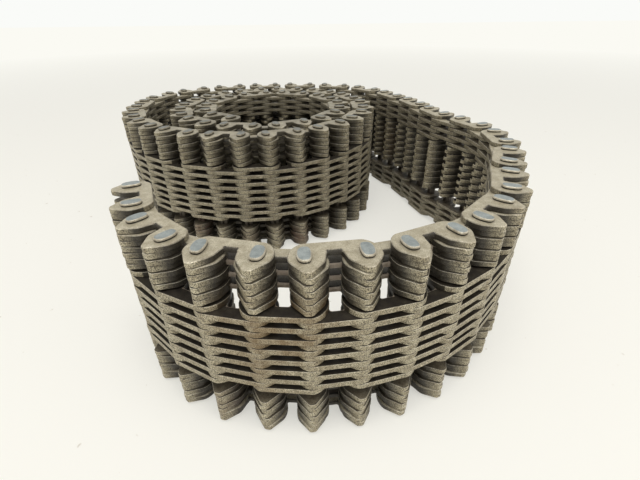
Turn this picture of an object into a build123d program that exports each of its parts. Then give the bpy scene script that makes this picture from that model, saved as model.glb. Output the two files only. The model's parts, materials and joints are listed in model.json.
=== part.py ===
"""Silent chain with teeth on both sides, standing on its edge: a wound coil and a free run that leaves it.

The chain is a row of pitches. Odd and even pitches take turns in the rows, so plates of one pitch lie between
the plates of the next, and two rocking pins tie them together at each joint. The upper and lower rows have
their teeth on the outside of the coil, and the middle band has them on the inside.
The plates of one pitch that would lie next to each other in a group of rows are joined into one pack.
X and Y are the plan of the coil, Z is the width of the chain, and Z is zero under the lower pin heads.
"""

from build123d import *
import os
from math import cos, degrees, hypot, radians, sin

os.makedirs("parts", exist_ok=True)

# Driving dimensions of the chain, in millimetres and degrees
PITCH = 12.7  # between two joint centres
PLATE_THICKNESS = 1.8
ROW_CLEARANCE = 0.04  # between plates of neighbouring rows
HEAD_HEIGHT = 1.1  # of a pin head outside the outer plate
LOWER_GAP = 4.0  # bare pins between the lower rows and the middle band
UPPER_GAP = 0.4  # between the middle band and the upper rows

# Rows of each group, counted as plates
OUTER_PLATES = 4  # of a headed pitch, in the upper rows and again in the lower rows
INNER_PLATES = 3  # of a plain pitch, in the upper rows and again in the lower rows
BAND_HEADED_PLATES = 7  # of a headed pitch, in the lower course of the middle band
BAND_PLAIN_PLATES = 8  # of a plain pitch, in its upper course

# Outline of a link plate, measured from the line through its joints and beyond a joint centre
BACK_HEIGHT = 5.9
BACK_FLAT_REACH = 2.1
END_HEIGHT = 3.6
END_REACH = 4.8
TIP_HEIGHT = 5.7
TIP_REACH = 2.1
TIP_WIDTH = 1.6
CROTCH_DEPTH = 1.6
CROTCH_WIDTH = 3.0

# Section of a rocking pin, measured from the joint centre into its own plates
PIN_GAP = 0.03  # from the joint centre to the rocking edge
PIN_FACE_REACH = 0.5
PIN_FACE_HEIGHT = 1.78
PIN_BACK_REACH = 2.05
PIN_BACK_HEIGHT = 1.27
SEAT_CLEARANCE = 0.05
SWING_REACH = 3.3  # room in an aperture for the swing of the neighbour's pin
APERTURE_REACH = 1.15
APERTURE_HEIGHT = 2.45

# Pin heads
HEAD_LENGTH = 3.4  # along the chain
HEAD_WIDTH = 5.7  # across the chain
HEAD_FLAT = 2.6  # of its two straight sides

# Route of the chain, seen from above, from its free end
END_HEADING = -67.5
FREE_TURNS = [8, 18, 14, 14, 9, 12, 8, 10, 10, 12, 8, 13, 0, -2, 7, 14]
FREE_TURNS += [10, 18, 3, -11, -4, 4, 7, 0, 7, 14, 12]  # up to the coil
COIL_PITCHES = 66
COIL_LEAD_TURNS = [15, 7, 7, 4, 3, 6, 7, 9, 11, 14, 16, 15, 12] + 8 * [10] + 6 * [12]  # its outermost wrap
COIL_RADIUS = 55.9  # where its inner wraps begin
WRAP_SPACING = 13.4  # from one wrap to the next
OUTER_WRAP_PITCHES = 28  # of the outermost wrap, which shows from outside
INNER_WRAP_PITCHES = 23  # of the innermost wrap, which shows in the coil's open centre
COIL_JOINT_CLEARANCE = 0.05

# What follows from them
ROW = PLATE_THICKNESS + ROW_CLEARANCE
EDGE_ROWS = OUTER_PLATES + INNER_PLATES
BAND_ROWS = BAND_HEADED_PLATES + BAND_PLAIN_PLATES
ALL_ROWS = 2 * EDGE_ROWS + BAND_ROWS
FREE_PITCHES = len(FREE_TURNS)


def row_bottom(row):
    """Height of the lower face of a row, counted from zero at the bottom."""
    height = HEAD_HEIGHT + row * ROW
    if row >= EDGE_ROWS:
        height += LOWER_GAP
    if row >= EDGE_ROWS + BAND_ROWS:
        height += UPPER_GAP
    return height


def pack(first_row, plates, teeth, hole):
    """One pack of plates: its lower face, its height, the side of its teeth and the shape of its holes."""
    bottom = row_bottom(first_row)
    top = row_bottom(first_row + plates - 1) + PLATE_THICKNESS
    return bottom, top - bottom, teeth, hole


OUTWARD = 1
INWARD = -1
UPPER_ROW = EDGE_ROWS + BAND_ROWS
TOP_HEIGHT = row_bottom(ALL_ROWS - 1) + PLATE_THICKNESS


def walk():
    """Joint centres and the heading of each pitch, from the free end to the inner end of the coil."""
    x, y, heading = 0.0, 0.0, END_HEADING
    joints = [(x, y)]
    headings = []
    radius = COIL_RADIUS
    for number in range(FREE_PITCHES + COIL_PITCHES):
        headings.append(heading)
        x += PITCH * cos(radians(heading))
        y += PITCH * sin(radians(heading))
        joints.append((x, y))
        lead = number - FREE_PITCHES
        if number < FREE_PITCHES:
            turn = FREE_TURNS[number]
        elif lead < len(COIL_LEAD_TURNS):
            turn = COIL_LEAD_TURNS[lead]
        else:
            turn = degrees(PITCH / radius)
            radius -= WRAP_SPACING * turn / 360
        heading += turn
    return joints, headings


def plate_outline(teeth):
    """Corners of a link plate about its middle, with its teeth towards -Y when they are on the outside."""
    half = PITCH / 2
    right = [
        (half + BACK_FLAT_REACH, BACK_HEIGHT),
        (half + END_REACH, END_HEIGHT),
        (half + TIP_REACH, -TIP_HEIGHT),
        (half + TIP_REACH - TIP_WIDTH, -TIP_HEIGHT),
        (CROTCH_WIDTH / 2, CROTCH_DEPTH),
    ]
    left = [(-x, y) for x, y in reversed(right)]
    return [(x, y * teeth) for x, y in right + left]


JOINTS, HEADINGS = walk()


def in_plan(number, points):
    """Points of a pitch's own frame, moved to its place in the route."""
    heading = radians(HEADINGS[number])
    x = (JOINTS[number][0] + JOINTS[number + 1][0]) / 2
    y = (JOINTS[number][1] + JOINTS[number + 1][1]) / 2
    placed = []
    for along, across in points:
        east = x + along * cos(heading) - across * sin(heading)
        north = y + along * sin(heading) + across * cos(heading)
        placed.append((east, north))
    return placed


def joint_heading(joint):
    """Heading of the chain at a joint, halfway between those of its two pitches."""
    before = HEADINGS[joint - 1]
    after = HEADINGS[min(joint, len(HEADINGS) - 1)]
    return (before + after) / 2


def beside(joint, along, out):
    """A point beside a joint, by its distances along the chain and towards the outside."""
    heading = radians(joint_heading(joint))
    x, y = JOINTS[joint]
    return x + along * cos(heading) + out * sin(heading), y + along * sin(heading) - out * cos(heading)


FIRST_BLOCK = FREE_PITCHES + 1
LAST_BLOCK = FREE_PITCHES + COIL_PITCHES - 1


def on_outer_wrap(number):
    """Whether a pitch of the coil lies on its outermost wrap."""
    return number < FREE_PITCHES + OUTER_WRAP_PITCHES


def on_inner_wrap(number):
    """Whether a pitch of the coil lies on its innermost wrap."""
    return number > LAST_BLOCK - INNER_WRAP_PITCHES


def on_any_wrap(number):
    """The upper rows show their teeth from above on every wrap."""
    return True


def coil_block(number, teeth, plain=False):
    """Outline of one coil pitch, cut where its neighbours begin, with half a tooth at each end or none."""
    back = -BACK_HEIGHT * teeth
    tip = TIP_HEIGHT * teeth
    crotch = CROTCH_DEPTH * teeth
    if number == LAST_BLOCK:
        far_end = [beside(number + 1, END_REACH, back), beside(number + 1, TIP_REACH, tip)]
    else:
        cut = -COIL_JOINT_CLEARANCE
        far_end = [beside(number + 1, cut, back), beside(number + 1, cut, tip)]
    far_flank = [beside(number + 1, -TIP_REACH, tip), *in_plan(number, [(0, crotch)])]
    if number == FIRST_BLOCK:
        past_entry = hypot(END_REACH, END_HEIGHT) + SEAT_CLEARANCE
        return far_end + far_flank + [beside(number, past_entry, crotch), beside(number, past_entry, back)]
    near_end = [beside(number, COIL_JOINT_CLEARANCE, tip), beside(number, COIL_JOINT_CLEARANCE, back)]
    if plain:
        return far_end + near_end
    return far_end + far_flank + [beside(number, TIP_REACH, tip)] + near_end


# The middle of the chain's plan is put at the origin
EXTENT = []
for pitch_number in range(FIRST_BLOCK):
    for side in (OUTWARD, INWARD):
        EXTENT += in_plan(pitch_number, plate_outline(side))
for pitch_number in range(FIRST_BLOCK, LAST_BLOCK + 1):
    EXTENT += coil_block(pitch_number, OUTWARD)
CENTRE_X = (min(x for x, y in EXTENT) + max(x for x, y in EXTENT)) / 2
CENTRE_Y = (min(y for x, y in EXTENT) + max(y for x, y in EXTENT)) / 2
JOINTS = [(x - CENTRE_X, y - CENTRE_Y) for x, y in JOINTS]


def pitch_location(number):
    """Place of a pitch's own frame in the route."""
    x = (JOINTS[number][0] + JOINTS[number + 1][0]) / 2
    y = (JOINTS[number][1] + JOINTS[number + 1][1]) / 2
    return Location((x, y, 0), (0, 0, HEADINGS[number]))


# The two joints of a pitch, in its own frame, each turned so that X points out of the pitch
JOINT_PLACES = [Location((PITCH / 2, 0, 0)), Location((-PITCH / 2, 0, 0), (0, 0, 180))]

PIN_SECTION = [
    (PIN_GAP, 0),
    (PIN_FACE_REACH, PIN_FACE_HEIGHT),
    (PIN_BACK_REACH, PIN_BACK_HEIGHT),
    (PIN_BACK_REACH, -PIN_BACK_HEIGHT),
    (PIN_FACE_REACH, -PIN_FACE_HEIGHT),
]
SEAT_HOLE = [
    (PIN_GAP - SEAT_CLEARANCE, 0),
    (PIN_FACE_REACH - SEAT_CLEARANCE, PIN_FACE_HEIGHT + SEAT_CLEARANCE),
    (PIN_BACK_REACH + SEAT_CLEARANCE, PIN_BACK_HEIGHT + SEAT_CLEARANCE),
    (PIN_BACK_REACH + SEAT_CLEARANCE, -PIN_BACK_HEIGHT - SEAT_CLEARANCE),
    (PIN_FACE_REACH - SEAT_CLEARANCE, -PIN_FACE_HEIGHT - SEAT_CLEARANCE),
]
ROCKER_APERTURE = [
    (PIN_BACK_REACH + SEAT_CLEARANCE, PIN_BACK_HEIGHT + SEAT_CLEARANCE),
    (-APERTURE_REACH, APERTURE_HEIGHT),
    (-SWING_REACH, 0),
    (-APERTURE_REACH, -APERTURE_HEIGHT),
    (PIN_BACK_REACH + SEAT_CLEARANCE, -PIN_BACK_HEIGHT - SEAT_CLEARANCE),
]
HEAD_MIDDLE = (PIN_GAP + PIN_BACK_REACH) / 2
HEAD_SECTION = [
    (HEAD_MIDDLE - HEAD_LENGTH / 2, HEAD_FLAT / 2),
    (HEAD_MIDDLE, HEAD_WIDTH / 2),
    (HEAD_MIDDLE + HEAD_LENGTH / 2, HEAD_FLAT / 2),
    (HEAD_MIDDLE + HEAD_LENGTH / 2, -HEAD_FLAT / 2),
    (HEAD_MIDDLE, -HEAD_WIDTH / 2),
    (HEAD_MIDDLE - HEAD_LENGTH / 2, -HEAD_FLAT / 2),
]

# Packs of a headed pitch and of a plain pitch, from the bottom up
HEADED_PACKS = [
    pack(0, OUTER_PLATES, OUTWARD, SEAT_HOLE),
    pack(EDGE_ROWS, BAND_HEADED_PLATES, INWARD, ROCKER_APERTURE),
    pack(UPPER_ROW + INNER_PLATES, OUTER_PLATES, OUTWARD, SEAT_HOLE),
]
PLAIN_PACKS = [
    pack(OUTER_PLATES, INNER_PLATES, OUTWARD, ROCKER_APERTURE),
    pack(UPPER_ROW - BAND_PLAIN_PLATES, BAND_PLAIN_PLATES, INWARD, ROCKER_APERTURE),
    pack(UPPER_ROW, INNER_PLATES, OUTWARD, ROCKER_APERTURE),
]


def link_plates(packs):
    """All plate packs of one pitch, in its own frame."""
    with BuildPart() as plates:
        for bottom, height, teeth, hole in packs:
            with BuildSketch(Plane.XY.offset(bottom)):
                Polygon(*plate_outline(teeth), align=None)
                with Locations(*JOINT_PLACES):
                    Polygon(*hole, align=None, mode=Mode.SUBTRACT)
            extrude(amount=height)
    return plates.part


def link_pins(bottom, top, headed):
    """The two rocking pins of one pitch, in its own frame."""
    with BuildPart() as pins:
        with BuildSketch(Plane.XY.offset(bottom)):
            with Locations(*JOINT_PLACES):
                Polygon(*PIN_SECTION, align=None)
        extrude(amount=top - bottom)
        if headed:
            for base in (bottom, top - HEAD_HEIGHT):
                with BuildSketch(Plane.XY.offset(base)):
                    with Locations(*JOINT_PLACES):
                        Polygon(*HEAD_SECTION, align=None)
                extrude(amount=HEAD_HEIGHT)
    return pins.part


# The four shapes that every pitch of the free run repeats
HEADED_PLATES = link_plates(HEADED_PACKS)
PLAIN_PLATES = link_plates(PLAIN_PACKS)
HEADED_PINS = link_pins(0, TOP_HEIGHT + HEAD_HEIGHT, True)
PLAIN_BOTTOM = row_bottom(OUTER_PLATES)
PLAIN_TOP = row_bottom(UPPER_ROW + INNER_PLATES - 1) + PLATE_THICKNESS
PLAIN_PINS = link_pins(PLAIN_BOTTOM, PLAIN_TOP, False)


def headed(number):
    """Every second pitch, from the free end on, carries its pins' heads outside its outer plates."""
    return number % 2 == 0


PACKS_OF = {True: HEADED_PACKS, False: PLAIN_PACKS}
PLATES_OF = {True: HEADED_PLATES, False: PLAIN_PLATES}
PINS_OF = {True: HEADED_PINS, False: PLAIN_PINS}

# Free run: the plates and the pins of each pitch
for pitch_number in range(FREE_PITCHES):
    with BuildPart() as link:
        with Locations(pitch_location(pitch_number)):
            add(PLATES_OF[headed(pitch_number)])
    link.part.label = f"link_{pitch_number + 1:02d}"
    export_step(link.part, f"parts/link_{pitch_number + 1:02d}.step")

    with BuildPart() as pins:
        with Locations(pitch_location(pitch_number)):
            add(PINS_OF[headed(pitch_number)])
    pins.part.label = f"link_{pitch_number + 1:02d}_pins"
    export_step(pins.part, f"parts/link_{pitch_number + 1:02d}_pins.step")

# The coil's first pitch, which the free run hangs on
with BuildPart() as coil_entry_link:
    with Locations(pitch_location(FREE_PITCHES)):
        add(PLATES_OF[headed(FREE_PITCHES)])
coil_entry_link.part.label = "coil_entry_link"
export_step(coil_entry_link.part, "parts/coil_entry_link.step")


def near_half(teeth):
    """Near half of a link plate, by which the first block reaches between the entry pitch's plates."""
    left = plate_outline(teeth)[5:]
    return left + [(0, BACK_HEIGHT * teeth), (0, CROTCH_DEPTH * teeth)]


def coil_rows(first_row, rows, teeth, toothed):
    """One group of rows of the wound coil: a block for each pitch, without teeth where none are seen."""
    bottom = row_bottom(first_row)
    top = row_bottom(first_row + rows - 1) + PLATE_THICKNESS
    with BuildPart() as group:
        with BuildSketch(Plane.XY.offset(bottom)):
            for number in range(FIRST_BLOCK, LAST_BLOCK + 1):
                Polygon(*coil_block(number, teeth, not toothed(number)), align=None)
        extrude(amount=top - bottom)
        for pack_bottom, height, pack_teeth, hole in PACKS_OF[headed(FIRST_BLOCK)]:
            if bottom <= pack_bottom < top:
                with BuildSketch(Plane.XY.offset(pack_bottom)):
                    with Locations(pitch_location(FIRST_BLOCK)):
                        Polygon(*near_half(pack_teeth), align=None)
                    with Locations(pitch_location(FIRST_BLOCK) * JOINT_PLACES[1]):
                        Polygon(*hole, align=None, mode=Mode.SUBTRACT)
                extrude(amount=height)
    return group.part


with BuildPart() as coil_lower_rows:
    add(coil_rows(0, EDGE_ROWS, OUTWARD, on_outer_wrap))
coil_lower_rows.part.label = "coil_lower_rows"
export_step(coil_lower_rows.part, "parts/coil_lower_rows.step")

with BuildPart() as coil_middle_rows:
    add(coil_rows(EDGE_ROWS, BAND_ROWS, INWARD, on_inner_wrap))
coil_middle_rows.part.label = "coil_middle_rows"
export_step(coil_middle_rows.part, "parts/coil_middle_rows.step")

with BuildPart() as coil_upper_rows:
    add(coil_rows(UPPER_ROW, EDGE_ROWS, OUTWARD, on_any_wrap))
coil_upper_rows.part.label = "coil_upper_rows"
export_step(coil_upper_rows.part, "parts/coil_upper_rows.step")


def coil_head_places():
    """Places of the pin heads on the coil's blocks. The first block's near head belongs to a whole pin."""
    reach = PITCH / 2 + HEAD_MIDDLE
    places = []
    for number in range(FIRST_BLOCK, LAST_BLOCK + 1):
        if headed(number):
            places.append(pitch_location(number) * Location((reach, 0, 0)))
        if headed(number) and number > FIRST_BLOCK:
            places.append(pitch_location(number) * Location((-reach, 0, 0)))
    return places


def shown_joints():
    """Joints of the coil with bare pins between its rows: all on the wraps that show, half of the others."""
    joints = []
    for joint in range(FIRST_BLOCK + 1, LAST_BLOCK + 2):
        if on_outer_wrap(joint) or on_inner_wrap(joint) or joint % 2 == 0:
            joints.append(joint)
    return joints


# Pins of the coil: whole ones at its entry, then the lengths that show between its rows and outside them
with BuildPart() as coil_pins:
    with Locations(pitch_location(FREE_PITCHES)):
        add(PINS_OF[headed(FREE_PITCHES)])
    with Locations(pitch_location(FIRST_BLOCK)):
        add(PINS_OF[headed(FIRST_BLOCK)].solids().sort_by(Axis.X)[0])
    with BuildSketch(Plane.XY.offset(row_bottom(EDGE_ROWS - 1) + PLATE_THICKNESS)):
        for joint_number in shown_joints():
            with Locations(Location((*JOINTS[joint_number], 0), (0, 0, joint_heading(joint_number)))):
                Rectangle(2 * PIN_BACK_REACH, 2 * PIN_BACK_HEIGHT)
    extrude(amount=LOWER_GAP + ROW_CLEARANCE)
    for head_bottom in (0, TOP_HEIGHT):
        with BuildSketch(Plane.XY.offset(head_bottom)):
            with Locations(*coil_head_places()):
                Rectangle(HEAD_LENGTH, HEAD_WIDTH)
        extrude(amount=HEAD_HEIGHT)
coil_pins.part.label = "coil_pins"
export_step(coil_pins.part, "parts/coil_pins.step")
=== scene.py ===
"""Looks of the silent chain: every link plate, pin and head by itself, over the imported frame."""

import json
import math
import random

import bpy
import numpy as np
from mathutils import Matrix, Vector


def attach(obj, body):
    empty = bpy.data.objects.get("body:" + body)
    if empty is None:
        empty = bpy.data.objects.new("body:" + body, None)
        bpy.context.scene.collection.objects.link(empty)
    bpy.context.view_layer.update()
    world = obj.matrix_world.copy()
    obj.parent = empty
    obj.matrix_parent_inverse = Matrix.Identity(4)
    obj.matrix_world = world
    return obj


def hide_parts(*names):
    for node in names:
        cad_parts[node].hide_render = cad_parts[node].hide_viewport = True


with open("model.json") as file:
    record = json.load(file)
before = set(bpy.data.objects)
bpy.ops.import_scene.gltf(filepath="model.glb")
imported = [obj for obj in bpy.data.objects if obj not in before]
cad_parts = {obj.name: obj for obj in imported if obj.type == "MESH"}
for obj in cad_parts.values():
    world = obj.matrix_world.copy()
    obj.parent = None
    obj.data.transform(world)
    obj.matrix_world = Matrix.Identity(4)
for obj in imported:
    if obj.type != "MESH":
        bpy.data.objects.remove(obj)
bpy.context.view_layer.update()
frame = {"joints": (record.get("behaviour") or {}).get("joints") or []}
MM = 0.001
SHAKE = random.Random(7)

# Sizes of the chain, in millimetres, as in the part
PITCH = 12.7
PLATE_THICKNESS = 1.8
ROW = 1.84
HEAD_HEIGHT = 1.1
LOWER_GAP = 4.0
UPPER_GAP = 0.4
EDGE_ROWS = 7
BAND_ROWS = 15
ALL_ROWS = 2 * EDGE_ROWS + BAND_ROWS
OUTWARD = 1
INWARD = -1

# Route of the chain, in degrees, as in the part
END_HEADING = -67.5
FREE_TURNS = [8, 18, 14, 14, 9, 12, 8, 10, 10, 12, 8, 13, 0, -2, 7, 14]
FREE_TURNS += [10, 18, 3, -11, -4, 4, 7, 0, 7, 14, 12]
COIL_PITCHES = 66
COIL_LEAD_TURNS = [15, 7, 7, 4, 3, 6, 7, 9, 11, 14, 16, 15, 12] + 8 * [10] + 6 * [12]
COIL_RADIUS = 55.9
WRAP_SPACING = 13.4
FREE_PITCHES = len(FREE_TURNS)
ALL_PITCHES = FREE_PITCHES + COIL_PITCHES


def row_bottom(row):
    """Height of the lower face of a row."""
    height = HEAD_HEIGHT + row * ROW
    if row >= EDGE_ROWS:
        height += LOWER_GAP
    if row >= EDGE_ROWS + BAND_ROWS:
        height += UPPER_GAP
    return height


def walk():
    """Joint centres and headings of the pitches, moved so that joint_01 lies where the frame has it."""
    x, y, heading = 0.0, 0.0, END_HEADING
    joints = [(x, y)]
    headings = []
    radius = COIL_RADIUS
    for number in range(ALL_PITCHES):
        headings.append(heading)
        x += PITCH * math.cos(math.radians(heading))
        y += PITCH * math.sin(math.radians(heading))
        joints.append((x, y))
        lead = number - FREE_PITCHES
        if number < FREE_PITCHES:
            turn = FREE_TURNS[number]
        elif lead < len(COIL_LEAD_TURNS):
            turn = COIL_LEAD_TURNS[lead]
        else:
            turn = math.degrees(PITCH / radius)
            radius -= WRAP_SPACING * turn / 360
        heading += turn
    first = [joint["pos_m"] for joint in frame["joints"] if joint["name"] == "joint_01"][0]
    shift_x = first[0] / MM - joints[1][0]
    shift_y = first[1] / MM - joints[1][1]
    return [(jx + shift_x, jy + shift_y) for jx, jy in joints], headings


JOINTS, HEADINGS = walk()

# Half outline of a link plate about its middle: along, across with the teeth towards minus, corner radius,
# and how dark it is painted there: oily dirt, and painted shade in the crotches
HALF_PLATE = [
    (7.6, 5.9, 0.8, 0.0),
    (9.7, 4.5, 1.5, 0.0),
    (11.15, 1.6, 1.6, 1.0),
    (11.15, -1.5, 1.2, 1.0),
    (7.85, -6.1, 0.5, 0.0),
    (6.2, -6.1, 0.5, 0.0),
    (2.7, -2.5, 1.0, 1.0),
    (2.0, 0.9, 0.8, 1.0),
    (1.45, 1.8, 0.4, 1.0),
]
# The backs that face the inside of the run are painted dark as shade too, beyond this far across
BACK_SHADE = 0.4
BACK_ACROSS = 4
# How far the bevel at a plate's faces, painted dark as shade between the plates, reaches in, and the bright
# rim above its edge, a painted highlight
OUTWARD_GROOVE = 0.22
INWARD_GROOVE = 0.13
RIM_WIDTH = 0.1
# The bottom of the crotch between the teeth, a bar: where it lies, how far it is rounded at the faces,
# the shares of that on the rings towards them, and the height over which it eases
BAR_REACH = 1.7
BAR_NEAR = 0.9
BAR_FAR = 2.1
BAR_ROUNDING = 0.6
BAR_LIP_SHARE = 0.6
BAR_LOW_SHARE = 0.4
BAR_HIGH_SHARE = 0.25
BAR_EASE = 0.5
# Share of an edge that a corner's curve may take, and the least that a sharp corner is taken for
EDGE_SHARE = 0.45
LEAST_WIDENING = 0.5
# Height of the painted contact shadow at the foot of a head, and how far its crown's rim lies in, as a share
# of its rounding
FOOT_HEIGHT = 0.45
CROWN_SHARE = 2.2
# Places of the materials in the lists of the plates and of the pins
FACE, EDGE, RIM_HIGHLIGHT, INSIDE_SHADE, GROOVE_SHADE, BAR, LEDGE_SHADE = range(7)
HEAD_FACE, HEAD_RIM_HIGHLIGHT, PIN_SIDE, HEAD_FOOT_SHADOW = range(4)


def unit(x, y):
    """The direction of a line of any length."""
    length = math.hypot(x, y)
    return x / length, y / length


def rounded(corners, steps):
    """Outline with each corner made round by a short curve of the given number of steps."""
    points = []
    count = len(corners)
    for index, (x, y, radius, *rest) in enumerate(corners):
        before = corners[index - 1]
        after = corners[(index + 1) % count]
        ax, ay = unit(before[0] - x, before[1] - y)
        bx, by = unit(after[0] - x, after[1] - y)
        reach_before = min(radius, EDGE_SHARE * math.hypot(before[0] - x, before[1] - y))
        reach_after = min(radius, EDGE_SHARE * math.hypot(after[0] - x, after[1] - y))
        start = (x + ax * reach_before, y + ay * reach_before)
        end = (x + bx * reach_after, y + by * reach_after)
        for step in range(steps + 1):
            t = step / steps
            px = (1 - t) ** 2 * start[0] + 2 * t * (1 - t) * x + t * t * end[0]
            py = (1 - t) ** 2 * start[1] + 2 * t * (1 - t) * y + t * t * end[1]
            points.append((px, py))
    return points


def counter_clockwise(points):
    """The outline itself if it runs counter-clockwise, or else a reversed copy."""
    area = 0
    for (x0, y0), (x1, y1) in zip(points, points[1:] + points[:1]):
        area += x0 * y1 - x1 * y0
    return points if area > 0 else points[::-1]


def inset(points, distances):
    """The outline moved inwards by a small distance, or by one for each point."""
    moved = []
    count = len(points)
    if isinstance(distances, float):
        distances = [distances] * count
    for index, ((x, y), distance) in enumerate(zip(points, distances)):
        x0, y0 = points[index - 1]
        x1, y1 = points[(index + 1) % count]
        ax, ay = unit(x - x0, y - y0)
        bx, by = unit(x1 - x, y1 - y)
        nx, ny = unit(-ay - by, ax + bx)
        widening = max(LEAST_WIDENING, -nx * ay + ny * ax)
        moved.append((x + nx * distance / widening, y + ny * distance / widening))
    return moved


class Template:
    """A solid of rings of equal length: points, faces as loops, and the material of each face."""

    def __init__(self, rings, ring_materials, cap_material, dirt_and_shade=None):
        count = len(rings[0][0])
        self.dirt_and_shade = np.tile(np.array(dirt_and_shade if dirt_and_shade else [0.0] * count), len(rings))
        coords = []
        for outline, height in rings:
            coords += [(x, y, height) for x, y in outline]
        self.coords = np.array(coords)
        loops = list(range(count))[::-1]
        totals = [count]
        self.materials = [cap_material]
        for level, material_of in enumerate(ring_materials):
            base = level * count
            outline = rings[level][0]
            for index in range(count):
                after = (index + 1) % count
                loops += [base + index, base + after, base + after + count, base + index + count]
                totals.append(4)
                middle_x = (outline[index][0] + outline[after][0]) / 2
                middle_y = (outline[index][1] + outline[after][1]) / 2
                self.materials.append(material_of(middle_x, middle_y))
        last = (len(rings) - 1) * count
        loops += [last + index for index in range(count)]
        totals.append(count)
        self.materials.append(cap_material)
        self.loops = np.array(loops)
        self.totals = np.array(totals)


def all_over(material):
    """The same material all round a ring."""
    return lambda x, y: material


def plate_template(teeth, steps, shown, dark_bars, fine):
    """One link plate, its edges broken by a small rounding, with bright faces where they are in the open, its
    faces between plates and the bevels beside them painted dark as shade, and its upper rims painted bright
    as highlight.
    """
    mirrored = [(-x, y, radius, dirt_and_shade) for x, y, radius, dirt_and_shade in reversed(HALF_PLATE)]
    outline = rounded([(x, y * teeth, radius) for x, y, radius, dirt_and_shade in HALF_PLATE + mirrored], steps)
    dirt_and_shade = []
    for x, y, radius, own_dirt_and_shade in HALF_PLATE + mirrored:
        if teeth == OUTWARD and y > BACK_ACROSS:
            own_dirt_and_shade = max(own_dirt_and_shade, BACK_SHADE)
        dirt_and_shade += [own_dirt_and_shade] * (steps + 1)
    if counter_clockwise(outline) is not outline:
        outline = outline[::-1]
        dirt_and_shade = dirt_and_shade[::-1]

    def on_bar(x, y):
        return abs(x) < BAR_REACH and BAR_NEAR < y * teeth < BAR_FAR

    def inset_by(usual, on_bars):
        return inset(outline, [on_bars if on_bar(x, y) else usual for x, y in outline])

    def all_but_bar(material):
        return lambda x, y: bar if on_bar(x, y) else material

    bar = EDGE if shown or dark_bars else BAR
    depth = OUTWARD_GROOVE if teeth == OUTWARD else INWARD_GROOVE
    top = PLATE_THICKNESS
    foot = (inset_by(depth, BAR_ROUNDING), 0)
    lip = (inset_by(RIM_WIDTH, BAR_LIP_SHARE * BAR_ROUNDING), top - RIM_WIDTH)
    last = (inset_by(depth, BAR_ROUNDING), top)
    groove = all_but_bar(GROOVE_SHADE)
    edge = all_but_bar(EDGE)
    highlight = all_but_bar(RIM_HIGHLIGHT)
    upper = highlight if shown else groove
    if fine:
        low_ease = (inset_by(0.0, BAR_LOW_SHARE * BAR_ROUNDING), depth)
        high_ease = (inset_by(0.0, BAR_HIGH_SHARE * BAR_ROUNDING), top - 2 * RIM_WIDTH)
        rings = [foot, low_ease, (outline, BAR_EASE), (outline, top - BAR_EASE), high_ease, lip, last]
        sides = [groove, edge, edge, edge, highlight, upper]
    else:
        rings = [foot, (outline, depth), (outline, top - 2 * RIM_WIDTH), lip, last]
        sides = [groove, edge, highlight, upper]
    # Faces between the plates are painted darker as shade: the outer rows' ledges dark, the band's insides
    # near black
    hidden = LEDGE_SHADE if teeth == OUTWARD else INSIDE_SHADE
    return Template(rings, sides, FACE if shown else hidden, dirt_and_shade)


def column_template(outline, bottom, top, rounding, side_material, crown=0.0, foot=None):
    """A straight bar of the given section with rounded rims, a crown on its ends and a foot painted dark as
    contact shadow if asked.
    """
    outline = counter_clockwise(outline)
    narrow = inset(outline, rounding)
    middle = inset(outline, CROWN_SHARE * rounding)
    rings = [
        (middle, bottom - crown),
        (narrow, bottom),
        (outline, bottom + rounding),
        (outline, top - rounding),
        (narrow, top),
        (middle, top + crown),
    ]
    face = all_over(HEAD_FACE)
    rim = all_over(HEAD_RIM_HIGHLIGHT)
    dark = all_over(HEAD_FOOT_SHADOW)
    low_rim = dark if foot == "low" else rim
    high_rim = dark if foot == "high" else rim
    sides = [face, low_rim, all_over(side_material), high_rim, face]
    if foot == "low":
        rings.insert(3, (outline, bottom + FOOT_HEIGHT))
        sides.insert(2, low_rim)
    return Template(rings, sides, HEAD_FACE)


def placed(coords, x, y, heading, height):
    """Points of a pitch's own frame in the part's frame."""
    c = math.cos(heading)
    s = math.sin(heading)
    moved = np.empty_like(coords)
    moved[:, 0] = x + coords[:, 0] * c - coords[:, 1] * s
    moved[:, 1] = y + coords[:, 0] * s + coords[:, 1] * c
    moved[:, 2] = coords[:, 2] + height
    return moved


def piece(name, parts, materials, body, nodes):
    """Joins placed templates into one mesh object, with a tone for each template and dirt and painted shade
    for each point.
    """
    coords = []
    loops = []
    totals = []
    faces = []
    tones = []
    dirt_and_shade = []
    base = 0
    for template, x, y, heading, height, tone in parts:
        coords.append(placed(template.coords, x, y, heading, height))
        loops.append(template.loops + base)
        totals.append(template.totals)
        faces += template.materials
        tones.append(np.full(len(template.coords), tone))
        dirt_and_shade.append(template.dirt_and_shade)
        base += len(template.coords)
    coords = np.concatenate(coords) * MM
    loops = np.concatenate(loops)
    totals = np.concatenate(totals)
    starts = np.concatenate([[0], np.cumsum(totals)[:-1]])
    mesh = bpy.data.meshes.new(name)
    mesh.vertices.add(len(coords))
    mesh.vertices.foreach_set("co", coords.astype(np.float32).ravel())
    mesh.loops.add(len(loops))
    mesh.loops.foreach_set("vertex_index", loops.astype(np.int32))
    mesh.polygons.add(len(totals))
    mesh.polygons.foreach_set("loop_start", starts.astype(np.int32))
    mesh.polygons.foreach_set("material_index", np.array(faces, np.int32))
    mesh.polygons.foreach_set("use_smooth", np.zeros(len(totals), bool))
    mesh.update(calc_edges=True)
    mesh.validate()
    for attribute, values in (("tone", tones), ("dirt_and_shade", dirt_and_shade)):
        made_values = mesh.attributes.new(attribute, "FLOAT", "POINT")
        made_values.data.foreach_set("value", np.concatenate(values).astype(np.float32))
    for material in materials:
        mesh.materials.append(material)
    made = bpy.data.objects.new(name, mesh)
    bpy.context.scene.collection.objects.link(made)
    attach(made, body)
    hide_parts(*nodes)


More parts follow.
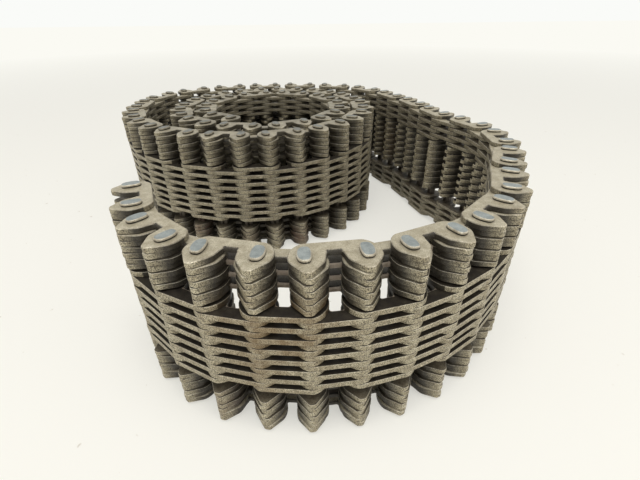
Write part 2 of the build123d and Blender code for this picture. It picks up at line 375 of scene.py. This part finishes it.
# Materials: worn steel with pits, specks, oil and rust, and painted shade and highlights
def linear(red, green, blue):
    """A colour as it looks on a screen, from 0 to 255, as the shader wants it."""
    values = []
    for value in (red, green, blue):
        part = value / 255
        values.append(part / 12.92 if part <= 0.04045 else ((part + 0.055) / 1.055) ** 2.4)
    return (*values, 1.0)


def joint_point(number, out, height):
    """A point beside a joint, towards the outside, in metres."""
    heading = math.radians((HEADINGS[number - 1] + HEADINGS[number]) / 2)
    x, y = JOINTS[number]
    return ((x + out * math.sin(heading)) * MM, (y - out * math.cos(heading)) * MM, height * MM)


# Where the steel is stained, and where shade is painted: joint, distance outwards, height and radius in
# millimetres, and strength.
# The last is painted shade over the wound part, one wide darkening about the coil's middle
OIL_STAINS = [
    (5, 6, 38, 16, 0.6),
    (6, 6, 40, 14, 0.55),
    (5, 6, 22, 12, 0.4),
    (15, 0, 40, 14, 0.3),
    (24, -4, 30, 18, 0.3),
]
RUST_STAINS = [(51, 3, 6, 8, 0.6), (47, 3, 12, 8, 0.55), (49, 6, 8, 8, 0.2), (4, 5, 10, 9, 0.2)]
COIL_SHADE_SPOTS = [(85, -46, 45, 95, 0.75)]
OIL = linear(112, 86, 46)
RUST = linear(92, 46, 36)
COIL_SHADE = linear(84, 78, 62)
# Colour of the oily dirt and of the painted shade in the crotches and on the inward backs
DIRT_AND_SHADE_COLOUR = linear(34, 29, 23)
STAINS_AND_SHADE = [(OIL_STAINS, OIL), (RUST_STAINS, RUST), (COIL_SHADE_SPOTS, COIL_SHADE)]
# Share of the radius of each stain and spot of painted shade within which it is full
SPOT_CORE = 0.3
# Noises of the steel, by their scale: fine grain and pits, mottled ground, blotches in stains and in the
# painted shade over the coil, roughness
GRAIN_SCALE = 3700
MOTTLE_SCALE = 420
BLOTCH_SCALE = 160
ROUGHNESS_SCALE = 700
# The noise values between which each of them fades
GRAIN_FADE = (0.4, 0.58)
MOTTLE_FADE = (0.36, 0.64)
BLOTCH_FADE = (0.3, 0.6)
ROUGHNESS_FADE = (0.35, 0.65)
# How far the tone of a plate darkens it, and the depth of the pits in metres
TONE_SHARE = 0.3
PIT_DEPTH = 0.0001


class Nodes:
    """Short names for making the nodes of one material."""

    def __init__(self, name):
        self.material = bpy.data.materials.new(name)
        self.material.use_nodes = True
        self.tree = self.material.node_tree
        self.shader = self.tree.nodes["Principled BSDF"]
        self.place = self.tree.nodes.new("ShaderNodeTexCoord").outputs["Object"]

    def link(self, source, target):
        self.tree.links.new(source, target)

    def noise(self, scale, detail=4.0, rough=0.55):
        node = self.tree.nodes.new("ShaderNodeTexNoise")
        node.inputs["Scale"].default_value = scale
        node.inputs["Detail"].default_value = detail
        node.inputs["Roughness"].default_value = rough
        self.link(self.place, node.inputs["Vector"])
        return node.outputs["Fac"]

    def spread(self, value, low, high, to_low=0.0, to_high=1.0):
        node = self.tree.nodes.new("ShaderNodeMapRange")
        node.inputs["From Min"].default_value = low
        node.inputs["From Max"].default_value = high
        node.inputs["To Min"].default_value = to_low
        node.inputs["To Max"].default_value = to_high
        self.link(value, node.inputs["Value"])
        return node.outputs["Result"]

    def math(self, kind, first, second):
        node = self.tree.nodes.new("ShaderNodeMath")
        node.operation = kind
        for socket, value in zip(node.inputs, (first, second)):
            if isinstance(value, (int, float)):
                socket.default_value = value
            else:
                self.link(value, socket)
        return node.outputs["Value"]

    def mix(self, factor, first, second):
        node = self.tree.nodes.new("ShaderNodeMix")
        node.data_type = "RGBA"
        for name, value in (("Factor", factor), ("A", first), ("B", second)):
            sockets = [s for s in node.inputs if s.name == name and s.enabled]
            if isinstance(value, (int, float, tuple)):
                sockets[0].default_value = value
            else:
                self.link(value, sockets[0])
        return [s for s in node.outputs if s.enabled][0]

    def attribute(self, name):
        node = self.tree.nodes.new("ShaderNodeAttribute")
        node.attribute_name = name
        return node.outputs["Fac"]

    def near(self, point, radius):
        """One at a point, fading to nothing at the given radius, in metres."""
        node = self.tree.nodes.new("ShaderNodeVectorMath")
        node.operation = "DISTANCE"
        self.link(self.place, node.inputs[0])
        node.inputs[1].default_value = point
        return self.spread(node.outputs["Value"], radius, radius * SPOT_CORE)

    def bump(self, height, strength, distance):
        node = self.tree.nodes.new("ShaderNodeBump")
        node.inputs["Strength"].default_value = strength
        node.inputs["Distance"].default_value = distance
        self.link(height, node.inputs["Height"])
        self.link(node.outputs["Normal"], self.shader.inputs["Normal"])


def steel(name, light, dark, speck, grain, rough, metallic=0.1, pits=0.2, dirt_and_shade_share=0.0, with_stains_and_shade=True):
    """Worn steel: a mottled ground with fine dark grain, oily dirt with painted shade, stains, painted shade
    over the coil, and pits in the bump.
    """
    nodes = Nodes(name)
    light, dark, speck = (linear(*colour) for colour in (light, dark, speck))
    mottle = nodes.spread(nodes.noise(MOTTLE_SCALE, detail=4, rough=0.6), *MOTTLE_FADE)
    ground = nodes.mix(mottle, dark, light)
    ground = nodes.mix(nodes.spread(nodes.attribute("tone"), 0, 1, 0.0, TONE_SHARE), ground, dark)
    fine = nodes.spread(nodes.noise(GRAIN_SCALE, detail=3, rough=0.65), *GRAIN_FADE, grain, 0.0)
    ground = nodes.mix(fine, ground, speck)
    if dirt_and_shade_share > 0:
        share = nodes.math("MULTIPLY", nodes.attribute("dirt_and_shade"), dirt_and_shade_share)
        ground = nodes.mix(share, ground, DIRT_AND_SHADE_COLOUR)
    blotches = nodes.spread(nodes.noise(BLOTCH_SCALE, detail=4, rough=0.6), *BLOTCH_FADE)
    for spots, colour in STAINS_AND_SHADE if with_stains_and_shade else ():
        for joint, out, height, radius, strength in spots:
            share = nodes.near(joint_point(joint, out, height), radius * MM)
            share = nodes.math("MULTIPLY", nodes.math("MULTIPLY", share, blotches), strength)
            ground = nodes.mix(share, ground, colour)
    nodes.link(ground, nodes.shader.inputs["Base Color"])
    nodes.shader.inputs["Metallic"].default_value = metallic
    roughness = nodes.spread(nodes.noise(ROUGHNESS_SCALE, detail=3), *ROUGHNESS_FADE, *rough)
    nodes.link(roughness, nodes.shader.inputs["Roughness"])
    nodes.bump(nodes.noise(GRAIN_SCALE, detail=2, rough=0.6), pits, PIT_DEPTH)
    return nodes.material


# In the order of the plates' faces to their ledges; the rims are painted bright as highlight, and the
# insides, grooves and ledges dark as shade
PLATE_MATERIALS = [
    steel("plate_faces", (199, 192, 170), (165, 157, 135), (120, 110, 88),
          grain=0.5, rough=(0.42, 0.6), pits=0.3),
    steel("plate_edges", (216, 207, 178), (172, 161, 133), (44, 37, 26),
          grain=0.9, rough=(0.45, 0.65), pits=0.5, dirt_and_shade_share=0.92),
    # The plates' upper rims, painted bright as highlight
    steel("rim_highlights", (228, 221, 198), (184, 174, 150), (88, 78, 60),
          grain=0.6, rough=(0.4, 0.55), metallic=0.15, dirt_and_shade_share=0.5),
    steel("plate_insides_shaded", (62, 56, 46), (38, 33, 27), (20, 17, 14),
          grain=0.5, rough=(0.4, 0.6), metallic=0.15, pits=0.3, with_stains_and_shade=False),
    steel("plate_grooves_shaded", (40, 35, 28), (22, 19, 16), (12, 10, 8),
          grain=0.5, rough=(0.6, 0.8), with_stains_and_shade=False),
    steel("crotch_bars", (176, 164, 148), (134, 121, 106), (84, 74, 62),
          grain=0.2, rough=(0.35, 0.5), metallic=0.15),
    steel("plate_ledges_shaded", (140, 131, 110), (104, 95, 78), (60, 52, 40),
          grain=0.6, rough=(0.45, 0.65), metallic=0.15, pits=0.3, dirt_and_shade_share=0.8, with_stains_and_shade=False),
]
PIN_STEEL = steel("pin_sides", (110, 102, 90), (66, 59, 50), (34, 29, 24),
                  grain=0.4, rough=(0.4, 0.55), metallic=0.3)
# In the order of the head's face, rim, pin side and foot; the rims and sides of the heads are painted bright
# as highlight, and their feet dark as contact shadow
PIN_MATERIALS = [
    steel("head_faces", (158, 166, 165), (130, 138, 138), (100, 102, 100),
          grain=0.3, rough=(0.35, 0.5), metallic=0.25),
    steel("head_rims", (214, 208, 190), (168, 160, 142), (110, 102, 86),
          grain=0.4, rough=(0.3, 0.45), metallic=0.25),
    PIN_STEEL,
    PLATE_MATERIALS[GROOVE_SHADE],
]
# The coil's pins: copies of the heads' steel painted darker, as shade over the wound part
COIL_PIN_MATERIALS = [
    steel("coil_head_faces", (138, 140, 134), (106, 109, 104), (74, 74, 68),
          grain=0.3, rough=(0.4, 0.55), metallic=0.2),
    steel("coil_head_rims", (180, 173, 154), (130, 122, 104), (78, 70, 56),
          grain=0.4, rough=(0.35, 0.5), metallic=0.2),
    PIN_STEEL,
    PLATE_MATERIALS[GROOVE_SHADE],
]

# Shapes that repeat, with more corners and rings on the free run than on the coil
FINE_STEPS = 3
COARSE_STEPS = 2
FINE = {}
COARSE = {}
for teeth in (OUTWARD, INWARD):
    for shown in (True, False):
        for dark_bars in (True, False):
            FINE[teeth, shown, dark_bars] = plate_template(teeth, FINE_STEPS, shown, dark_bars, True)
            COARSE[teeth, shown, dark_bars] = plate_template(teeth, COARSE_STEPS, shown, dark_bars, False)

# Section of a rocking pin about its joint, towards its own plate's end: along, across, corner radius
PIN_SECTION = [(0.03, 0, 0.2), (0.5, 1.78, 0.5), (2.05, 1.27, 0.5), (2.05, -1.27, 0.5), (0.5, -1.78, 0.5)]
PIN_STEPS = 2
PIN_ROUNDING = 0.1
HEAD_MIDDLE = 1.04
HEAD_REACH = 1.75
HEAD_HALF_WIDTH = 2.95
HEAD_CORNERS = 22
HEAD_ROUNDING = 0.22
HEAD_CROWN = 0.06
# How full the head's outline is, where 1 is an ellipse and less is squarer
END_FULLNESS = 0.9
MIDDLE_FULLNESS = 0.5
SIDE_FULLNESS = 0.85


def head_outline():
    """A pin head from above: round towards the plate's end and flatter towards its middle."""
    points = []
    for corner in range(HEAD_CORNERS):
        angle = 2 * math.pi * corner / HEAD_CORNERS
        along = math.cos(angle)
        across = math.sin(angle)
        fullness = END_FULLNESS if along > 0 else MIDDLE_FULLNESS
        reach = math.copysign(abs(along) ** fullness, along) * HEAD_REACH
        half_width = math.copysign(abs(across) ** SIDE_FULLNESS, across) * HEAD_HALF_WIDTH
        points.append((HEAD_MIDDLE + reach, half_width))
    return points


# Pins reach half into their heads. Those without heads end at the outermost rows of plain pitches
PLATES_TOP = row_bottom(ALL_ROWS - 1) + PLATE_THICKNESS
PLAIN_PLATES_TOP = row_bottom(ALL_ROWS - 2) + PLATE_THICKNESS
PIN_OUTLINE = rounded(PIN_SECTION, PIN_STEPS)
HALF_HEAD = HEAD_HEIGHT * 0.5
SHAFT = column_template(PIN_OUTLINE, HALF_HEAD, PLATES_TOP + HALF_HEAD, PIN_ROUNDING, PIN_SIDE)
PLAIN_SHAFT = column_template(PIN_OUTLINE, row_bottom(1), PLAIN_PLATES_TOP, PIN_ROUNDING, PIN_SIDE)
# The heads' sides and rims take the rim steel, painted bright as highlight
TOP_HEAD = column_template(head_outline(), PLATES_TOP, PLATES_TOP + HEAD_HEIGHT - HEAD_CROWN,
                           HEAD_ROUNDING, HEAD_RIM_HIGHLIGHT, HEAD_CROWN, "low")
LOW_HEAD = column_template(head_outline(), HEAD_CROWN, HEAD_HEIGHT,
                           HEAD_ROUNDING, HEAD_RIM_HIGHLIGHT, HEAD_CROWN, "high")
# How far plates and heads lie out of line: millimetres, and radians for the last two
SHAKE_ALONG = 0.09
SHAKE_OUT = 0.12
SHAKE_TURN = 0.006
SHAKE_HEAD = 0.12
# Rows at the top and at the bottom whose faces lie in the open, one of each kind of pitch
OPEN_ROWS = 2


def headed(number):
    """Whether a pitch's pins carry heads, and its plates the outermost rows."""
    return number % 2 == 0


def rows_of(number):
    """The rows of one pitch, which are every second one, with the side of their teeth."""
    rows = []
    for row in range(ALL_ROWS):
        band = EDGE_ROWS <= row < EDGE_ROWS + BAND_ROWS
        if (row % 2 == 0) == headed(number):
            rows.append((row, INWARD if band else OUTWARD))
    return rows


def pitch_place(number):
    """Middle and heading of a pitch."""
    x = (JOINTS[number][0] + JOINTS[number + 1][0]) / 2
    y = (JOINTS[number][1] + JOINTS[number + 1][1]) / 2
    return x, y, math.radians(HEADINGS[number])


def plates(number, shapes, groups):
    """The plates of one pitch in the given rows, each a little out of line as real ones are."""
    x, y, heading = pitch_place(number)
    made = []
    for row, teeth in rows_of(number):
        if row not in groups:
            continue
        along = SHAKE.uniform(-SHAKE_ALONG, SHAKE_ALONG)
        out = SHAKE.uniform(-SHAKE_OUT, SHAKE_OUT)
        px = x + along * math.cos(heading) + out * math.sin(heading)
        py = y + along * math.sin(heading) - out * math.cos(heading)
        tilt = heading + SHAKE.uniform(-SHAKE_TURN, SHAKE_TURN)
        shown = row < OPEN_ROWS or row >= ALL_ROWS - OPEN_ROWS
        # Bars of the lower rows and of the coil keep the edge steel, dark there with oily dirt and painted
        # shade
        dark_bars = row < EDGE_ROWS or number > FREE_PITCHES
        made.append((shapes[teeth, shown, dark_bars], px, py, tilt, row_bottom(row), SHAKE.random()))
    return made


def pins(number):
    """The rocking pins of one pitch, with heads on every second pitch."""
    heading = math.radians(HEADINGS[number])
    made = []
    for side in (1, -1):
        x, y = JOINTS[number + 1] if side > 0 else JOINTS[number]
        turned = heading if side > 0 else heading + math.pi
        tone = SHAKE.random()
        if headed(number):
            twist = turned + SHAKE.uniform(-SHAKE_HEAD, SHAKE_HEAD)
            made.append((SHAFT, x, y, turned, 0, tone))
            made.append((TOP_HEAD, x, y, twist, 0, tone))
            made.append((LOW_HEAD, x, y, twist, 0, tone))
        else:
            made.append((PLAIN_SHAFT, x, y, turned, 0, tone))
    return made


# The pieces, each in place of its node of the part
EVERY_ROW = range(ALL_ROWS)
for number in range(FREE_PITCHES):
    link = f"link_{number + 1:02d}"
    link_plates = plates(number, FINE, EVERY_ROW)
    piece(f"plates_{number + 1:02d}", link_plates, PLATE_MATERIALS, link, [link])
    piece(f"pins_{number + 1:02d}", pins(number), PIN_MATERIALS, link, [link + "_pins"])

entry_plates = plates(FREE_PITCHES, FINE, EVERY_ROW)
piece("coil_entry_plates", entry_plates, PLATE_MATERIALS, "coil", ["coil_entry_link"])
COIL_GROUPS = {
    "coil_lower": (range(EDGE_ROWS), "coil_lower_rows"),
    "coil_middle": (range(EDGE_ROWS, EDGE_ROWS + BAND_ROWS), "coil_middle_rows"),
    "coil_upper": (range(EDGE_ROWS + BAND_ROWS, ALL_ROWS), "coil_upper_rows"),
}
for name, (rows, node) in COIL_GROUPS.items():
    parts = []
    for number in range(FREE_PITCHES + 1, ALL_PITCHES):
        parts += plates(number, COARSE, rows)
    piece(name + "_plates", parts, PLATE_MATERIALS, "coil", [node])
coil_pin_parts = []
for number in range(FREE_PITCHES, ALL_PITCHES):
    coil_pin_parts += pins(number)
piece("coil_pin_set", coil_pin_parts, COIL_PIN_MATERIALS, "coil", ["coil_pins"])

# Floor, pale and slightly warm. What camera and steel see of it is part lit and part plain colour
FLOOR_HALF = 3.0
FLOOR_COLOUR = linear(251, 250, 243)
CRUMB_COLOUR = linear(170, 150, 120)
CRUMB_SCALE = 260
CRUMB_FADE = (0.22, 0.27)
CRUMB_SHARE = 0.35
FLOOR_ROUGHNESS = 0.7
# Share of plain colour near the middle and far from it, and the distances in metres
SEEN_SHARE = 0.52
FAR_SEEN_SHARE = 1.0
SEEN_FROM = 0.25
SEEN_TO = 1.2
corners = [(-FLOOR_HALF, -FLOOR_HALF, 0), (FLOOR_HALF, -FLOOR_HALF, 0)]
corners += [(FLOOR_HALF, FLOOR_HALF, 0), (-FLOOR_HALF, FLOOR_HALF, 0)]
floor_mesh = bpy.data.meshes.new("floor")
floor_mesh.from_pydata(corners, [], [(0, 1, 2, 3)])
floor = bpy.data.objects.new("floor", floor_mesh)
bpy.context.scene.collection.objects.link(floor)
floor_nodes = Nodes("floor_paper")
crumbs = floor_nodes.spread(floor_nodes.noise(CRUMB_SCALE, detail=2, rough=0.5), *CRUMB_FADE, 1, 0)
tint = floor_nodes.mix(floor_nodes.math("MULTIPLY", crumbs, CRUMB_SHARE), FLOOR_COLOUR, CRUMB_COLOUR)
floor_nodes.link(tint, floor_nodes.shader.inputs["Base Color"])
floor_nodes.shader.inputs["Roughness"].default_value = FLOOR_ROUGHNESS
glow = floor_nodes.tree.nodes.new("ShaderNodeEmission")
floor_nodes.link(tint, glow.inputs["Color"])
light_path = floor_nodes.tree.nodes.new("ShaderNodeLightPath")
seen = floor_nodes.math("MAXIMUM", light_path.outputs["Is Camera Ray"], light_path.outputs["Is Glossy Ray"])
seen = floor_nodes.math("MAXIMUM", seen, light_path.outputs["Is Transmission Ray"])
distance = floor_nodes.tree.nodes.new("ShaderNodeVectorMath")
distance.operation = "LENGTH"
floor_nodes.link(floor_nodes.place, distance.inputs[0])
share = floor_nodes.spread(distance.outputs["Value"], SEEN_FROM, SEEN_TO, SEEN_SHARE, FAR_SEEN_SHARE)
blend = floor_nodes.tree.nodes.new("ShaderNodeMixShader")
floor_nodes.link(floor_nodes.math("MULTIPLY", seen, share), blend.inputs[0])
floor_nodes.link(floor_nodes.shader.outputs[0], blend.inputs[1])
floor_nodes.link(glow.outputs[0], blend.inputs[2])
floor_nodes.link(blend.outputs[0], floor_nodes.tree.nodes["Material Output"].inputs["Surface"])
floor_mesh.materials.append(floor_nodes.material)

# World: pale to the camera and in reflections, plain soft light to the rest
SOFT_LIGHT_COLOUR = (1.0, 0.97, 0.92, 1)
SOFT_LIGHT = 0.46
BACKDROP_COLOUR = linear(250, 251, 248)
world = bpy.data.worlds.new("studio")
bpy.context.scene.world = world
world.use_nodes = True
world_tree = world.node_tree
soft_light = world_tree.nodes["Background"]
soft_light.inputs["Color"].default_value = SOFT_LIGHT_COLOUR
soft_light.inputs["Strength"].default_value = SOFT_LIGHT
backdrop = world_tree.nodes.new("ShaderNodeBackground")
backdrop.inputs["Color"].default_value = BACKDROP_COLOUR
backdrop.inputs["Strength"].default_value = 1.0
world_path = world_tree.nodes.new("ShaderNodeLightPath")
world_mix = world_tree.nodes.new("ShaderNodeMixShader")
world_seen = world_path.outputs["Is Camera Ray"]
for kind in ("Is Glossy Ray", "Is Transmission Ray"):
    either = world_tree.nodes.new("ShaderNodeMath")
    either.operation = "MAXIMUM"
    world_tree.links.new(world_seen, either.inputs[0])
    world_tree.links.new(world_path.outputs[kind], either.inputs[1])
    world_seen = either.outputs[0]
world_tree.links.new(world_seen, world_mix.inputs[0])
world_tree.links.new(soft_light.outputs[0], world_mix.inputs[1])
world_tree.links.new(backdrop.outputs[0], world_mix.inputs[2])
world_tree.links.new(world_mix.outputs[0], world_tree.nodes["World Output"].inputs["Surface"])

LAMP_COLOUR = (1.0, 0.98, 0.95)


def area_lamp(name, place, target, size, power, colour=LAMP_COLOUR):
    """A square lamp, in metres and watts, that looks at its target."""
    data = bpy.data.lights.new(name, "AREA")
    data.size = size
    data.energy = power
    data.color = colour
    lamp = bpy.data.objects.new(name, data)
    bpy.context.scene.collection.objects.link(lamp)
    lamp.location = place
    lamp.rotation_euler = (Vector(target) - Vector(place)).to_track_quat("-Z", "Y").to_euler()


area_lamp("main_lamp", (0.0, -0.22, 0.68), (0, 0, 0.02), size=0.45, power=2.25, colour=(1.0, 0.98, 0.94))
area_lamp("side_lamp", (0.45, -0.35, 0.4), (0, 0, 0.02), size=0.5, power=0.9)
area_lamp("fill_lamp", (-0.5, -0.3, 0.3), (-0.05, -0.05, 0.03), size=0.5, power=0.5)

# Camera, as fitted to the photograph: place from the free end's joint and height over the floor,
# in millimetres, tilt and roll in degrees, lens and sensor in millimetres
CAMERA_OFFSET = (59.72, -113.45)
CAMERA_HEIGHT = 107.3
CAMERA_TILT = 31.30
CAMERA_ROLL = -0.67
CAMERA_LENS = 21.58
SENSOR_WIDTH = 36
NEAREST_SEEN = 0.005
camera_data = bpy.data.cameras.new("camera")
camera_data.sensor_width = SENSOR_WIDTH
camera_data.lens = CAMERA_LENS
camera_data.clip_start = NEAREST_SEEN
camera = bpy.data.objects.new("camera", camera_data)
bpy.context.scene.collection.objects.link(camera)
eye_x = JOINTS[0][0] + CAMERA_OFFSET[0]
eye_y = JOINTS[0][1] + CAMERA_OFFSET[1]
eye = Vector((eye_x * MM, eye_y * MM, CAMERA_HEIGHT * MM))
tilt = math.radians(CAMERA_TILT)
roll = math.radians(CAMERA_ROLL)
ahead = Vector((0, math.cos(tilt), -math.sin(tilt)))
level_up = Vector((0, math.sin(tilt), math.cos(tilt)))
right = Vector((math.cos(roll), 0, 0)) + level_up * math.sin(roll)
up = right.cross(ahead)
camera.matrix_world = Matrix((
    (right.x, up.x, -ahead.x, eye.x),
    (right.y, up.y, -ahead.y, eye.y),
    (right.z, up.z, -ahead.z, eye.z),
    (0, 0, 0, 1),
))
bpy.context.scene.camera = camera
bpy.context.scene.view_settings.view_transform = "Standard"
